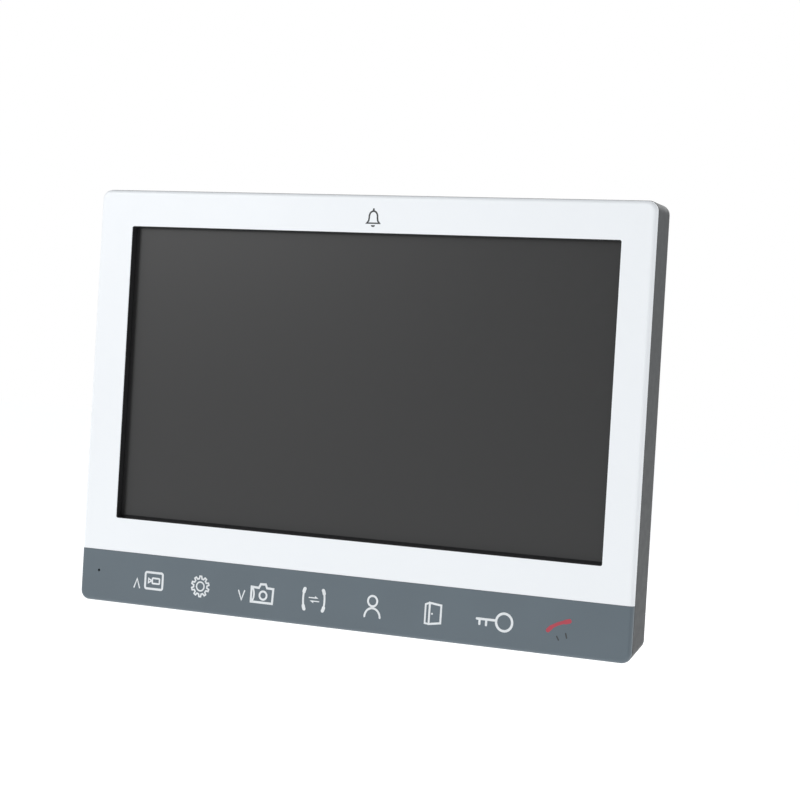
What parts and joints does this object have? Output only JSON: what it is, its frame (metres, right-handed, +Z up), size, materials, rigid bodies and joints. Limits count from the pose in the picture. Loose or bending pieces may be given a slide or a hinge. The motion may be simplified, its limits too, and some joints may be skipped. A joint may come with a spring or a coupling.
{
  "type": "video intercom monitor",
  "caption": "Wall-hung video door-phone monitor: wide white frame round a recessed screen, dark touch key strip below, slim grey case, steel wall bracket.",
  "frame": {"origin": "centre of the wall bracket's screw pattern, on the bracket's wall face", "axes": "+X to the viewer's right, +Y into the wall, +Z up; the screen faces -Y"},
  "size_m": [0.2552, 0.0192, 0.1775],
  "materials": {
    "white_frame": "white moulded ABS, fine satin gloss",
    "key_strip": "blue-grey panel, smooth satin",
    "grey_case": "dark grey moulded ABS, fine spark texture",
    "black_foam": "closed-cell foam",
    "black_steel": "black coated thin steel",
    "screen_glass": "anti-glare polariser over glass",
    "white_inner": "white moulded polycarbonate",
    "film": "diffusing film",
    "acrylic": "clear acrylic",
    "circuit_board": "glass-epoxy board with green mask",
    "sheet_aluminium": "mill finish",
    "flex_film": "amber polyimide film",
    "plated_steel": "zinc plated",
    "screw_steel": "plated steel screw",
    "brass_part": "turned brass",
    "chip_black": "moulded epoxy",
    "can_aluminium": "bright can",
    "socket_plastic": "natural nylon",
    "socket_red": "red nylon",
    "cell_steel": "bright steel",
    "ribbon_white": "flat flexible cable",
    "black_knob": "black moulded plastic",
    "lead_sheath": "soft PVC sheath",
    "magnet_steel": "plated magnet cup",
    "paper_cone": "black treated paper",
    "blank_label": "blank silver-grey film",
    "bracket_steel": "galvanised sheet steel"
  },
  "bodies": {
    "bracket": {"wall_bracket": "bracket_steel"},
    "monitor": {"front_bezel": "white_frame", "touch_strip_cover": "key_strip", "rear_cover": "grey_case", "display_gasket": "black_foam", "lcd_front_frame": "black_steel", "lcd_panel": "screen_glass", "lcd_mid_frame": "white_inner", "optical_films": "film", "light_guide": "acrylic", "reflector_sheet": "film", "backlight_strip": "circuit_board", "backlight_leds": "white_inner", "lcd_rear_plate": "sheet_aluminium", "lcd_driver_board": "circuit_board", "lcd_flex_films": "flex_film", "lcd_straps": "plated_steel", "strap_screws": "screw_steel", "main_board": "circuit_board", "board_spacers": "brass_part", "board_screws": "screw_steel", "main_processor": "chip_black", "memory_chips": "chip_black", "shield_can": "plated_steel", "small_chips": "chip_black", "power_inductors": "chip_black", "board_capacitors": "can_aluminium", "cell_holder": "socket_plastic", "clock_cell": "cell_steel", "ribbon_sockets": "socket_plastic", "lcd_ribbon": "ribbon_white", "touch_ribbon": "ribbon_white", "door_headers": "socket_plastic", "power_header": "socket_red", "header_pins": "brass_part", "side_board": "circuit_board", "power_switch_body": "plated_steel", "memory_card_socket": "plated_steel", "side_ribbon": "ribbon_white", "touch_board": "circuit_board", "key_leds": "white_inner", "touch_controller": "chip_black", "microphone": "can_aluminium", "microphone_boot": "black_foam", "microphone_lead": "lead_sheath", "speaker_frame": "plated_steel", "speaker_magnet": "magnet_steel", "speaker_cone": "paper_cone", "speaker_gasket": "black_foam", "speaker_retainer": "plated_steel", "retainer_screws": "screw_steel", "speaker_lead": "lead_sheath", "speaker_socket": "socket_plastic", "case_screws": "screw_steel", "rating_plate": "blank_label"},
    "power_switch": {"power_switch_knob": "black_knob"}
  },
  "joints": [
    {"name": "lift_off_hooks", "type": "slide", "parent": "bracket", "child": "monitor", "axis": [0, 0, 1], "range_m": [0, 0.007]},
    {"name": "switch_slide", "type": "slide", "parent": "monitor", "child": "power_switch", "axis": [0, 0, 1], "range_m": [0, 0.0025]}
  ]
}
